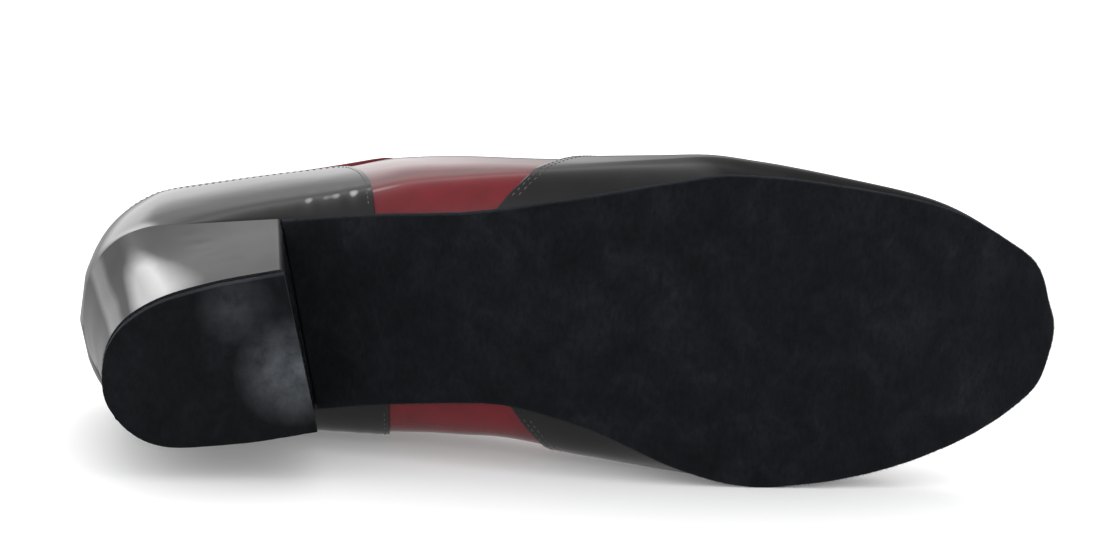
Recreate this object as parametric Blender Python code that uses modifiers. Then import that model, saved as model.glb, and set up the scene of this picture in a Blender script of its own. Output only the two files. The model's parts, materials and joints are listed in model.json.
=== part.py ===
"""Closed ballroom dance shoe with a Cuban heel: the right shoe, lying on its inner side.

The shoe is worked out standing, in metres: +X from the back of the seat to the toe, +Y to the
inner side, +Z up from the floor under the heel. At the end it is laid on its inner side.
"""

import math

import bmesh
import bpy
import numpy as np
from mathutils import Matrix, Vector

# Overall sizes
SOLE_LENGTH = 0.280
BALL_WIDTH = 0.093
HEEL_HEIGHT = 0.037
TOE_SPRING = 0.009
INSTEP_HEIGHT = 0.098
COLLAR_HEIGHT = 0.063

# Thicknesses and fits
OUTSOLE_THICKNESS = 0.0032
INSOLE_THICKNESS = 0.0020
UPPER_WALL = 0.0024
TONGUE_WALL = 0.0018
TOP_PIECE_THICKNESS = 0.0030
GAP = 0.0003
INSOLE_FIT = 0.0007
TONGUE_FIT = 0.0013
EDGE_MARGIN = 0.0022

# Lying on its inner side: how far inside its support the weight has to fall, and how far over
# to the inner side the way down has to point
STEADY = 0.0015
INNER_SIDE = 0.6

# Heel
TIP_WIDTH = 0.0465
TIP_BACK = 0.0067
TIP_LENGTH = 0.0522
BREAST = 0.0595
BREAST_SLANT = 0.0056
HEEL_HOLLOW = 0.35

# Throat and lace
THROAT_TOP_GAP = 0.024
THROAT_END_GAP = 0.0036
TONGUE_HALF_WIDTH = 0.024
TONGUE_RISE = 0.016
LACE_DIAMETER = 0.0026
LACE_BARS = 5
EYELET_FROM_EDGE = 0.0075
LACE_TOP_INSET = 0.010
LACE_END_INSET = 0.010

# Places along the sole, as shares of its length
COLLAR_FRONT = 0.385
COLLAR_RISE = 0.05
THROAT_END = 0.605
HEEL_FAN = (0.25, 0.14)
TOE_FAN = (0.72, 0.18)

# How finely the forms are drawn
UPPER_STATIONS = 40
UPPER_ROWS = 13
ROW_CROWDING = 1.5
SOLE_STATIONS = 34
HEEL_STATIONS = 12
HEEL_LEVELS = 5
LACE_POINTS = 9

# Columns: along (share of the sole's length), outer, inner (shares of the ball width, from the axis)
SOLE_OUTLINE = (
    (0.00, -0.011, -0.011),
    (0.02, -0.231, 0.183),
    (0.08, -0.330, 0.280),
    (0.20, -0.334, 0.286),
    (0.30, -0.355, 0.260),
    (0.40, -0.368, 0.245),
    (0.50, -0.409, 0.320),
    (0.60, -0.449, 0.476),
    (0.65, -0.461, 0.533),
    (0.70, -0.443, 0.555),
    (0.80, -0.373, 0.540),
    (0.88, -0.291, 0.489),
    (0.95, -0.156, 0.398),
    (0.985, -0.045, 0.306),
    (0.996, 0.074, 0.215),
    (1.00, 0.142, 0.142),
)

# Columns: along (share of the sole's length), heel (share of the heel height), toe (share of the toe spring)
TREAD = (
    (0.00, 1.00, 0.0),
    (0.10, 0.955, 0.0),
    (0.20, 0.87, 0.0),
    (0.30, 0.635, 0.0),
    (0.40, 0.365, 0.0),
    (0.50, 0.145, 0.0),
    (0.60, 0.015, 0.0),
    (0.64, 0.0, 0.0),
    (0.74, 0.0, 0.0),
    (0.80, 0.0, 0.13),
    (0.88, 0.0, 0.42),
    (0.95, 0.0, 0.74),
    (1.00, 0.0, 1.0),
)

# Columns: round (0 at the back, 1 at the breast), outer, inner (shares of the tip width)
HEEL_TIP = (
    (0.00, 0.050, 0.050),
    (0.15, -0.150, 0.193),
    (0.30, -0.297, 0.338),
    (0.50, -0.428, 0.456),
    (0.75, -0.516, 0.471),
    (1.00, -0.561, 0.441),
)

# Columns: along, ridge (share of the instep height), spine (share of the ball width),
# outer and inner bulge past the sole's edge (shares of the ball width), margin (share of the edge margin),
# tuck (share of the ball width), rise and shoulder (shares of the rib's height and half width)
SECTIONS = (
    (0.00, 1.36, -0.011, 0.018, 0.018, 0.25, 0.14, 0.60, 0.70),
    (0.05, 1.35, -0.011, -0.016, 0.074, 0.25, 0.11, 0.58, 0.68),
    (0.10, 1.33, -0.010, -0.004, 0.122, 0.25, 0.09, 0.62, 0.74),
    (0.20, 1.27, -0.005, 0.026, 0.120, 0.25, 0.12, 0.66, 0.80),
    (0.30, 1.15, 0.000, 0.050, 0.160, 0.25, 0.14, 0.68, 0.82),
    (0.35, 1.07, 0.002, 0.074, 0.172, 0.27, 0.15, 0.70, 0.84),
    (0.40, 0.99, 0.005, 0.080, 0.180, 0.30, 0.15, 0.72, 0.82),
    (0.50, 0.80, 0.015, 0.060, 0.156, 0.45, 0.15, 0.72, 0.72),
    (0.60, 0.635, 0.035, 0.032, 0.062, 0.50, 0.16, 0.74, 0.68),
    (0.70, 0.510, 0.055, 0.012, 0.014, 0.60, 0.17, 0.74, 0.64),
    (0.80, 0.430, 0.085, 0.004, 0.006, 0.75, 0.13, 0.66, 0.60),
    (0.90, 0.380, 0.115, 0.002, 0.002, 0.90, 0.11, 0.62, 0.58),
    (1.00, 0.345, 0.142, -0.006, -0.006, 1.00, 0.09, 0.62, 0.58),
)

# Columns: along, height over the seat (share of the collar height)
COLLAR = (
    (0.000, 1.00),
    (0.040, 0.97),
    (0.100, 0.87),
    (0.160, 0.80),
    (0.220, 0.78),
    (0.280, 0.83),
    (0.330, 0.97),
    (0.385, 1.30),
)

# Densities in kg per cubic metre
DENSITY = {"leather": 900.0, "wood": 600.0, "textile": 300.0}


def clear_scene():
    for obj in list(bpy.data.objects):
        bpy.data.objects.remove(obj, do_unlink=True)


def curve_through(rows, column, key=lambda along: along, level_ends=False):
    """A smooth curve through one column of a table, with no overshoot between its rows."""
    x = np.array([key(row[0]) for row in rows])
    y = np.array([row[column] for row in rows])
    step = np.diff(x)
    secant = np.diff(y) / step
    slope = np.empty_like(y)
    slope[0] = 0 if level_ends else secant[0]
    slope[-1] = 0 if level_ends else secant[-1]
    for i in range(1, len(x) - 1):
        before, after = secant[i - 1], secant[i]
        if before * after <= 0:
            slope[i] = 0
        else:
            weight = (step[i - 1] * after + step[i] * before) / (step[i - 1] + step[i])
            slope[i] = math.copysign(min(abs(weight), 3 * min(abs(before), abs(after))), weight)

    def value(along):
        at = min(max(key(along), x[0]), x[-1])
        i = min(int(np.searchsorted(x, at, side="right")) - 1, len(step) - 1)
        t = (at - x[i]) / step[i]
        start = (1 + 2 * t) * (1 - t) ** 2 * y[i] + t * (1 - t) ** 2 * step[i] * slope[i]
        end = t**2 * (3 - 2 * t) * y[i + 1] + t**2 * (t - 1) * step[i] * slope[i + 1]
        return float(start + end)

    return value


def turn_of(along):
    """The turn, from 0 at the back to pi at the toe, that gives an outline round ends."""
    return math.acos(max(-1.0, min(1.0, 1 - 2 * along)))


OUTLINE = [curve_through(SOLE_OUTLINE, column, turn_of) for column in (1, 2)]
HEEL_LIFT = curve_through(TREAD, 1)
TOE_LIFT = curve_through(TREAD, 2)
TIP = [curve_through(HEEL_TIP, column) for column in (1, 2)]
RIDGE = curve_through(SECTIONS, 1)
SPINE = curve_through(SECTIONS, 2)
BULGE = [curve_through(SECTIONS, column, turn_of, level_ends=True) for column in (3, 4)]
MARGIN = curve_through(SECTIONS, 5, turn_of, level_ends=True)
TUCK = curve_through(SECTIONS, 6, turn_of, level_ends=True)
RISE = curve_through(SECTIONS, 7, turn_of, level_ends=True)
SHOULDER = curve_through(SECTIONS, 8, turn_of, level_ends=True)
COLLAR_LINE = curve_through(COLLAR, 1, turn_of, level_ends=True)
OUTER, INNER = 0, 1


def edge(along, side):
    """Half of the sole's outline: how far its edge lies across, at a place along it."""
    return BALL_WIDTH * OUTLINE[side](along)


def tread(along):
    """Height of the sole's underside over the floor."""
    return HEEL_HEIGHT * HEEL_LIFT(along) + TOE_SPRING * TOE_LIFT(along)


def seat(along):
    """Height of the outsole's top, which the upper and the insole stand on."""
    step = 0.004
    low, high = max(along - step, 0.0), min(along + step, 1.0)
    slope = (tread(high) - tread(low)) / ((high - low) * SOLE_LENGTH)
    return tread(along) + OUTSOLE_THICKNESS * math.sqrt(1 + slope**2)


def spine_place(along):
    """Where the rib from a place on the edge meets the spine: the ribs fan out at both ends."""
    heel, heel_reach = HEEL_FAN
    toe, toe_reach = TOE_FAN
    if along < heel:
        return heel - heel_reach * math.tanh((heel - along) / heel_reach)
    if along > toe:
        return toe + toe_reach * math.tanh((along - toe) / toe_reach)
    return along


def ridge_height(x):
    return INSTEP_HEIGHT * RIDGE(x / SOLE_LENGTH)


def skin(along, side, v):
    """The upper's outside, from its feather edge at v = 0 to the ridge at v = 1, along one rib."""
    middle = spine_place(along)
    root = Vector((middle * SOLE_LENGTH, BALL_WIDTH * SPINE(middle)))
    foot = Vector((along * SOLE_LENGTH, edge(along, side)))
    reach = (foot - root).length
    away = (foot - root) / reach
    full = reach + BALL_WIDTH * BULGE[side](along)
    tuck = BALL_WIDTH * BULGE[side](along) + EDGE_MARGIN * MARGIN(along)
    w = 1 - v
    height = 3 * w * w * v * RISE(along) + 3 * w * v * v + v**3
    across = full * (w**3 + 3 * w * w * v + 3 * w * v * v * SHOULDER(along))
    floor = seat(along) + GAP
    top = ridge_height(root.x + away.x * across)
    z = floor + (top - floor) * height
    over = (z - floor) / (BALL_WIDTH * TUCK(along))
    if over < 1:
        across -= tuck * (1 - over) ** 2
    place = root + away * across
    return Vector((place.x, place.y, z))


def skin_normal(along, side, v):
    """The way out of the upper's outside, from its slopes along and up a rib."""
    d = 0.002
    a0, a1 = max(along - d, 0.001), min(along + d, 0.999)
    v0, v1 = max(v - d, 0.0), min(v + d, 1.0)
    run = skin(a1, side, v) - skin(a0, side, v)
    climb = skin(along, side, v1) - skin(along, side, v0)
    normal = climb.cross(run) if side == INNER else run.cross(climb)
    return normal.normalized()


def under_skin(along, side, v, depth):
    return skin(along, side, v) - depth * skin_normal(along, side, v)


def v_at(along, side, measure, wanted):
    """The place up a rib where a measure that falls as the rib climbs reaches a wanted value."""
    low, high = 0.0, 1.0
    for _ in range(30):
        middle = (low + high) / 2
        if measure(skin(along, side, middle)) > wanted:
            low = middle
        else:
            high = middle
    return (low + high) / 2


def half_gap(along):
    """Half of the gap between the facings, which narrows towards the vamp."""
    share = (THROAT_END - along) / (THROAT_END - COLLAR_FRONT)
    return (THROAT_END_GAP + (THROAT_TOP_GAP - THROAT_END_GAP) * share) / 2


def from_spine(along):
    middle = spine_place(along)
    axis = Vector((middle * SOLE_LENGTH, BALL_WIDTH * SPINE(middle)))
    return lambda point: (Vector((point.x, point.y)) - axis).length


def top_edge(along, side):
    """How far up its rib the upper reaches: to the collar, the facing's edge or the ridge."""
    if along > THROAT_END + 1e-9:
        return 1.0
    if along <= COLLAR_FRONT:
        height = seat(along) + COLLAR_HEIGHT * COLLAR_LINE(along)
        collar = v_at(along, side, lambda point: -point.z, -height)
        facing = v_at(along, side, from_spine(along), half_gap(along))
        return min(collar, facing)
    return v_at(along, side, from_spine(along), half_gap(along))


def stations(count, first=0.0):
    """Places along the sole, closer together towards a round end."""
    start = turn_of(first)
    turns = [start + (math.pi - start) * i / count for i in range(count + 1)]
    return [(1 - math.cos(turn)) / 2 for turn in turns]


def upper_stations():
    """The ribs' places, with one at the collar's front corner and one at the throat's end."""
    places = stations(UPPER_STATIONS)
    for wanted in (COLLAR_FRONT, THROAT_END):
        nearest = min(range(len(places)), key=lambda i: abs(places[i] - wanted))
        places[nearest] = wanted
    close = [COLLAR_FRONT - COLLAR_RISE * k / 4 for k in (1, 2, 3)]
    return sorted(places + close)


def row_shares(count):
    """Shares of a rib, closer together near the feather edge, where the upper tucks in."""
    return [(j / count) ** ROW_CROWDING for j in range(count + 1)]


def material(name, colour, roughness, metallic=0.0):
    made = bpy.data.materials.new(name)
    made.use_nodes = True
    shader = made.node_tree.nodes["Principled BSDF"]
    shader.inputs["Base Color"].default_value = (*colour, 1.0)
    shader.inputs["Roughness"].default_value = roughness
    shader.inputs["Metallic"].default_value = metallic
    made.diffuse_color = (*colour, 1.0)
    return made


def add_object(name, mesh, collection, finish, parent):
    mesh.materials.append(finish)
    mesh.shade_smooth()
    obj = bpy.data.objects.new(name, mesh)
    collection.objects.link(obj)
    obj.parent = parent
    return obj


def mesh_of(name, points, faces):
    mesh = bpy.data.meshes.new(name)
    mesh.from_pydata([tuple(point) for point in points], [], faces)
    shape = bmesh.new()
    shape.from_mesh(mesh)
    bmesh.ops.remove_doubles(shape, verts=shape.verts, dist=1e-6)
    bmesh.ops.recalc_face_normals(shape, faces=shape.faces)
    shape.to_mesh(mesh)
    shape.free()
    return mesh


def face_way(mesh, direction):
    """Turns an open sheet's faces to one side, so that Solidify grows the way it is asked to."""
    total = sum((face.area * face.normal for face in mesh.polygons), Vector())
    if total.dot(direction) < 0:
        mesh.flip_normals()


def thicken(obj, wall, offset):
    solid = obj.modifiers.new("Wall", "SOLIDIFY")
    solid.thickness = wall
    solid.offset = offset
    solid.use_even_offset = True
    solid.use_quality_normals = True
    return solid


def ladder(rungs):
    """Points and faces of a sheet through rungs, each a list of points; a rung may be one point."""
    points = [point for rung in rungs for point in rung]
    starts = np.cumsum([0] + [len(rung) for rung in rungs])
    faces = []
    for i in range(len(rungs) - 1):
        a, b = int(starts[i]), int(starts[i + 1])
        here, there = len(rungs[i]), len(rungs[i + 1])
        if here == 1:
            faces += [(a, b + j, b + j + 1) for j in range(there - 1)]
        elif there == 1:
            faces += [(a + j + 1, a + j, b) for j in range(here - 1)]
        else:
            faces += [(a + j + 1, a + j, b + j, b + j + 1) for j in range(here - 1)]
    return points, faces


def breast_x(share):
    """The heel's front, which slants forward from the outer side (share 0) to the inner (1)."""
    return BREAST + BREAST_SLANT * share


def make_outsole(collection, parent):
    """Suede sole from the heel's breast to the toe, one thickness all over."""
    across = 6
    fade_end = 0.38
    first = BREAST / SOLE_LENGTH
    rungs = []
    for along in stations(SOLE_STATIONS, first)[:-1]:
        fade = max(0.0, (fade_end - along) / (fade_end - first))
        rung = []
        for j in range(across + 1):
            share = j / across
            shift = (breast_x(share) + GAP - BREAST) * fade
            place = min(along + shift / SOLE_LENGTH, 1.0)
            y = edge(place, OUTER) * (1 - share) + edge(place, INNER) * share
            rung.append(Vector((place * SOLE_LENGTH, y, tread(place))))
        rungs.append(rung)
    rungs.append([Vector((SOLE_LENGTH, edge(1.0, OUTER), tread(1.0)))])
    mesh = mesh_of("outsole", *ladder(rungs))
    face_way(mesh, Vector((0, 0, -1)))
    suede = material("black_suede", (0.012, 0.015, 0.020), 0.95)
    obj = add_object("outsole", mesh, collection, suede, parent)
    thicken(obj, OUTSOLE_THICKNESS, -1)
    return obj


def make_insole(collection, parent):
    """Sock and insole board in one sheet, inside the upper's wall."""
    across = 6
    inset_to = UPPER_WALL + INSOLE_FIT
    rungs = []
    for along in stations(SOLE_STATIONS):
        rung = []
        ends = []
        for side in (OUTER, INNER):
            middle = spine_place(along)
            root = Vector((middle * SOLE_LENGTH, BALL_WIDTH * SPINE(middle)))
            foot = Vector((along * SOLE_LENGTH, edge(along, side)))
            inset = EDGE_MARGIN * MARGIN(along) + inset_to
            ends.append(foot - (foot - root).normalized() * inset)
        if along in (0.0, 1.0):
            place = ends[0]
            rungs.append([Vector((place.x, place.y, seat(place.x / SOLE_LENGTH) + GAP))])
            continue
        for j in range(across + 1):
            place = ends[0].lerp(ends[1], j / across)
            rung.append(Vector((place.x, place.y, seat(place.x / SOLE_LENGTH) + GAP)))
        rungs.append(rung)
    mesh = mesh_of("insole", *ladder(rungs))
    face_way(mesh, Vector((0, 0, -1)))
    lining = material("tan_lining", (0.52, 0.38, 0.25), 0.7)
    obj = add_object("insole", mesh, collection, lining, parent)
    thicken(obj, INSOLE_THICKNESS, -1)
    return obj


def heel_turns():
    return [i / HEEL_STATIONS for i in range(HEEL_STATIONS + 1)]


def seat_point(turn, side):
    """A point of the heel's top, which has the sole's outline, at a turn from the back."""
    run = (1 - math.cos(turn * math.pi / 2)) * breast_x(side)
    along = run / SOLE_LENGTH
    return Vector((run, edge(along, side), seat(along)))


def tip_point(turn, side, z):
    """A point of the heel's foot, at a turn from the back."""
    length = TIP_LENGTH + BREAST_SLANT * side
    run = TIP_BACK + (1 - math.cos(turn * math.pi / 2)) * length
    return Vector((run, TIP_WIDTH * TIP[side](turn), z))


def make_heel_block(collection, parent):
    """Cuban heel: a loft from the seat's outline, which dips with the seat, to the flat tip."""
    foot = TOP_PIECE_THICKNESS + GAP
    levels = []
    for k in range(HEEL_LEVELS + 1):
        t = k / HEEL_LEVELS
        mix = t + HEEL_HOLLOW * t * (1 - t)
        level = []
        for turn in heel_turns():
            pair = []
            for side in (OUTER, INNER):
                high, low = seat_point(turn, side), tip_point(turn, side, foot)
                point = high.lerp(low, mix)
                point.z = high.z + (low.z - high.z) * t
                pair.append(point)
            level.append(pair)
        levels.append(level)
    points, faces = [], []
    for level in (levels[0], levels[-1]):
        rungs = [[level[0][0]]] + level[1:]
        sheet, quads = ladder(rungs)
        faces += [tuple(len(points) + index for index in quad) for quad in quads]
        points += sheet
    for upper, lower in zip(levels, levels[1:]):
        for side in (OUTER, INNER):
            for i in range(HEEL_STATIONS):
                start = len(points)
                points += [upper[i][side], upper[i + 1][side], lower[i + 1][side], lower[i][side]]
                faces.append((start, start + 1, start + 2, start + 3))
        start = len(points)
        points += [*upper[-1], *reversed(lower[-1])]
        faces.append((start, start + 1, start + 2, start + 3))
    patent = material("black_patent_heel", (0.010, 0.010, 0.011), 0.08)
    return add_object("heel_block", mesh_of("heel_block", points, faces), collection, patent, parent)


def make_top_piece(collection, parent):
    """The flat wearing piece under the heel."""
    rungs = [[tip_point(0.0, OUTER, 0.0)]]
    rungs += [[tip_point(turn, side, 0.0) for side in (OUTER, INNER)] for turn in heel_turns()[1:]]
    mesh = mesh_of("heel_top_piece", *ladder(rungs))
    face_way(mesh, Vector((0, 0, -1)))
    suede = material("black_suede_tip", (0.014, 0.016, 0.019), 0.95)
    obj = add_object("heel_top_piece", mesh, collection, suede, parent)
    thicken(obj, TOP_PIECE_THICKNESS, -1)
    return obj


def make_upper(collection, parent):
    """Quarters and vamp in one hollow shell, open at the collar, the throat and underneath."""
    places = upper_stations()
    sides = []
    for side in (OUTER, INNER):
        ribs = []
        for along in places:
            top = top_edge(along, side)
            ribs.append([skin(along, side, top * share) for share in row_shares(UPPER_ROWS)])
        sides.append(ladder(ribs))
    points, faces = list(sides[0][0]), list(sides[0][1])
    shift = len(points)
    points += sides[1][0]
    faces += [tuple(reversed([shift + index for index in face])) for face in sides[1][1]]
    mesh = mesh_of("upper", points, faces)
    front = max(mesh.polygons, key=lambda face: face.center.x)
    if front.normal.x < 0:
        mesh.flip_normals()
    patent = material("burgundy_patent", (0.22, 0.008, 0.018), 0.08)
    obj = add_object("upper", mesh, collection, patent, parent)
    thicken(obj, UPPER_WALL, -1)
    return obj


def make_tongue(collection, parent):
    """A tongue under the facings, from under the vamp to just over the collar's front."""
    depth = UPPER_WALL + TONGUE_FIT
    rise = TONGUE_RISE / SOLE_LENGTH
    start, end = COLLAR_FRONT - rise, THROAT_END + rise
    count, across = 14, 4
    rungs = []
    for i in range(count + 1):
        along = start + (end - start) * i / count
        halves = []
        for side in (OUTER, INNER):
            wide = v_at(along, side, from_spine(along), TONGUE_HALF_WIDTH)
            halves.append([under_skin(along, side, wide + (1 - wide) * j / across, depth) for j in range(across)])
        crown = under_skin(along, OUTER, 1.0, depth).lerp(under_skin(along, INNER, 1.0, depth), 0.5)
        rungs.append(halves[0] + [crown] + halves[1][::-1])
    mesh = mesh_of("tongue", *ladder(rungs))
    face_way(mesh, Vector((0, 0, 1)))
    leather = material("black_leather_tongue", (0.015, 0.014, 0.014), 0.45)
    obj = add_object("tongue", mesh, collection, leather, parent)
    thicken(obj, TONGUE_WALL, -1)
    return obj


def eyelet_v(along, side):
    """The place up a rib of an eyelet, a named way in from the facing's edge."""
    return v_at(along, side, from_spine(along), half_gap(along) + EYELET_FROM_EDGE)


def make_lace(collection, parent):
    """The lace's bars, straight across from eyelet to eyelet, just over the facings."""
    cotton = material("black_lace", (0.012, 0.012, 0.013), 0.8)
    lift = LACE_DIAMETER / 2 + 2 * GAP
    first = COLLAR_FRONT + LACE_TOP_INSET / SOLE_LENGTH
    last = THROAT_END - LACE_END_INSET / SOLE_LENGTH
    bars = []
    for number in range(LACE_BARS):
        along = first + (last - first) * number / (LACE_BARS - 1)
        ends = [under_skin(along, side, eyelet_v(along, side), -lift) for side in (OUTER, INNER)]
        edges = [
            under_skin(along, side, v_at(along, side, from_spine(along), half_gap(along)), -lift)
            for side in (OUTER, INNER)
        ]
        route = [ends[0]]
        route += [edges[0].lerp(edges[1], i / (LACE_POINTS - 3)) for i in range(LACE_POINTS - 2)]
        route.append(ends[1])
        curve = bpy.data.curves.new(f"lace_{number + 1}", "CURVE")
        curve.dimensions = "3D"
        spline = curve.splines.new("POLY")
        spline.points.add(len(route) - 1)
        for point, place in zip(spline.points, route):
            point.co = (*place, 1.0)
        curve.bevel_depth = LACE_DIAMETER / 2
        curve.bevel_resolution = 2
        curve.use_fill_caps = True
        curve.materials.append(cotton)
        bar = bpy.data.objects.new(f"lace_{number + 1}", curve)
        collection.objects.link(bar)
        bar.parent = parent
        bars.append(bar)
    return bars


def solid_points(obj, graph):
    """Corners of the object's triangles as modelled, as an array of triangles."""
    evaluated = obj.evaluated_get(graph)
    mesh = evaluated.to_mesh()
    mesh.calc_loop_triangles()
    place = np.array(evaluated.matrix_world)
    corners = np.array([vertex.co for vertex in mesh.vertices]) @ place[:3, :3].T + place[:3, 3]
    triangles = np.array([triangle.vertices for triangle in mesh.loop_triangles])
    evaluated.to_mesh_clear()
    return corners[triangles]


def balance(parts, graph):
    """All corners, and the centre of mass that the pieces' volumes and densities give."""
    mass, moment, corners = 0.0, np.zeros(3), []
    for obj, kind in parts:
        triangles = solid_points(obj, graph)
        volumes = np.linalg.det(triangles) / 6
        mass += DENSITY[kind] * volumes.sum()
        moment += DENSITY[kind] * (volumes[:, None] * triangles.sum(axis=1) / 4).sum(axis=0)
        corners.append(triangles.reshape(-1, 3))
    return np.unique(np.concatenate(corners).round(6), axis=0), moment / mass


def resting_side(corners, centre):
    """The way down when the shoe lies still on its inner side, through the centre of mass: of the
    hull's faces it can stay on, the one that leaves the sole nearest to upright."""
    hull = bmesh.new()
    for corner in corners:
        hull.verts.new(corner)
    bmesh.ops.convex_hull(hull, input=hull.verts)
    middle = Vector(centre)
    best, down = None, None
    for face in hull.faces:
        normal = face.normal
        if normal.dot(face.calc_center_median() - middle) < 0:
            normal = -normal
        if normal.y < INNER_SIDE:
            continue
        foot = middle + normal * normal.dot(face.verts[0].co - middle)
        sides = []
        for loop in face.loops:
            a, b = loop.vert.co, loop.link_loop_next.vert.co
            sides.append((b - a).cross(foot - a).dot(face.normal) / (b - a).length)
        inside = min(sides) if max(sides) > 0 else -max(sides)
        rank = (True, -abs(normal.z)) if inside > STEADY else (False, inside)
        if best is None or rank > best:
            best, down = rank, normal.copy()
    hull.free()
    return down


def lay_down(root, parts):
    """Turns the shoe onto its inner side, its sole to -Y, and centres it over the origin."""
    bpy.context.view_layer.update()
    graph = bpy.context.evaluated_depsgraph_get()
    corners, centre = balance(parts, graph)
    down = resting_side(corners, centre)
    up = -down
    forward = (Vector((1, 0, 0)) - up * up.x).normalized()
    turn = Matrix((forward, up.cross(forward), up))
    laid = corners @ np.array(turn).T
    low, high = laid.min(axis=0), laid.max(axis=0)
    shift = Vector((-(low[0] + high[0]) / 2, -(low[1] + high[1]) / 2, -low[2]))
    root.matrix_world = Matrix.Translation(shift) @ turn.to_4x4()


def main():
    clear_scene()
    collection = bpy.data.collections.new("ballroom_dance_shoe")
    bpy.context.scene.collection.children.link(collection)
    root = bpy.data.objects.new("shoe", None)
    collection.objects.link(root)
    parts = [
        (make_outsole(collection, root), "leather"),
        (make_heel_block(collection, root), "wood"),
        (make_top_piece(collection, root), "leather"),
        (make_insole(collection, root), "leather"),
        (make_upper(collection, root), "leather"),
        (make_tongue(collection, root), "leather"),
    ]
    parts += [(bar, "textile") for bar in make_lace(collection, root)]
    lay_down(root, parts)


main()
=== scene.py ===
"""Looks for the ballroom dance shoe: panels, seams, laces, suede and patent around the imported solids.

Everything on the shoe is worked out in the shoe's own frame, as in part.py: +X from the back of
the seat to the toe, +Y to the inner side, +Z up when the shoe stands. The two places that it
stands on, which the record gives, say where that frame lies in the row.
"""

import json
import math
import random

import bmesh
import bpy
import numpy as np
from mathutils import Matrix, Vector, noise

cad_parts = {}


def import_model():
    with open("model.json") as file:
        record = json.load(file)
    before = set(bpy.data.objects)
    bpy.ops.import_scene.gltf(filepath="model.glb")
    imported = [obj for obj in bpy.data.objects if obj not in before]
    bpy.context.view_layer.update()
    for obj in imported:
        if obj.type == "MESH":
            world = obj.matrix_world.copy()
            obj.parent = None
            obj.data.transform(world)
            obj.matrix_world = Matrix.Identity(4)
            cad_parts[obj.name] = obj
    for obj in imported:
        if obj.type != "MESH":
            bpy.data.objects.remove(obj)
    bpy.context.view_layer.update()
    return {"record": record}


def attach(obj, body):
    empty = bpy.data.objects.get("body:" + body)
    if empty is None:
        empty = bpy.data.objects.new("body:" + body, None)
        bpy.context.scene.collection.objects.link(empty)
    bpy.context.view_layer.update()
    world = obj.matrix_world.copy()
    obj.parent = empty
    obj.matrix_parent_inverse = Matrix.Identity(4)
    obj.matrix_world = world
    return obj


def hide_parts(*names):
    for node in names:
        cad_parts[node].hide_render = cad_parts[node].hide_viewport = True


# The same driving sizes as part.py, in metres
SOLE_LENGTH = 0.280
BALL_WIDTH = 0.093
HEEL_HEIGHT = 0.037
TOE_SPRING = 0.009
INSTEP_HEIGHT = 0.098
COLLAR_HEIGHT = 0.063
OUTSOLE_THICKNESS = 0.0032
INSOLE_THICKNESS = 0.0020
UPPER_WALL = 0.0024
TONGUE_WALL = 0.0018
TOP_PIECE_THICKNESS = 0.0030
GAP = 0.0003
INSOLE_FIT = 0.0007
TONGUE_FIT = 0.0013
EDGE_MARGIN = 0.0022
TIP_WIDTH = 0.0465
TIP_BACK = 0.0067
TIP_LENGTH = 0.0522
BREAST = 0.0595
BREAST_SLANT = 0.0056
HEEL_HOLLOW = 0.35
THROAT_TOP_GAP = 0.024
THROAT_END_GAP = 0.0036
TONGUE_HALF_WIDTH = 0.024
TONGUE_RISE = 0.016
LACE_DIAMETER = 0.0026
LACE_BARS = 5
EYELET_FROM_EDGE = 0.0075
LACE_TOP_INSET = 0.010
LACE_END_INSET = 0.010
COLLAR_FRONT = 0.385
THROAT_END = 0.605
HEEL_FAN = (0.25, 0.14)
TOE_FAN = (0.72, 0.18)
HEEL_REST_X = 0.036

# Columns: along (share of the sole's length), outer, inner (shares of the ball width, from the axis)
SOLE_OUTLINE = (
    (0.00, -0.011, -0.011),
    (0.02, -0.231, 0.183),
    (0.08, -0.330, 0.280),
    (0.20, -0.334, 0.286),
    (0.30, -0.355, 0.260),
    (0.40, -0.368, 0.245),
    (0.50, -0.409, 0.320),
    (0.60, -0.449, 0.476),
    (0.65, -0.461, 0.533),
    (0.70, -0.443, 0.555),
    (0.80, -0.373, 0.540),
    (0.88, -0.291, 0.489),
    (0.95, -0.156, 0.398),
    (0.985, -0.045, 0.306),
    (0.996, 0.074, 0.215),
    (1.00, 0.142, 0.142),
)

# Columns: along (share of the sole's length), heel (share of the heel height), toe (share of the
# toe spring)
TREAD = (
    (0.00, 1.00, 0.0),
    (0.10, 0.955, 0.0),
    (0.20, 0.87, 0.0),
    (0.30, 0.635, 0.0),
    (0.40, 0.365, 0.0),
    (0.50, 0.145, 0.0),
    (0.60, 0.015, 0.0),
    (0.64, 0.0, 0.0),
    (0.74, 0.0, 0.0),
    (0.80, 0.0, 0.13),
    (0.88, 0.0, 0.42),
    (0.95, 0.0, 0.74),
    (1.00, 0.0, 1.0),
)

# Columns: round (0 at the back, 1 at the breast), outer, inner (shares of the tip width)
HEEL_TIP = (
    (0.00, 0.050, 0.050),
    (0.15, -0.150, 0.193),
    (0.30, -0.297, 0.338),
    (0.50, -0.428, 0.456),
    (0.75, -0.516, 0.471),
    (1.00, -0.561, 0.441),
)

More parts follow.
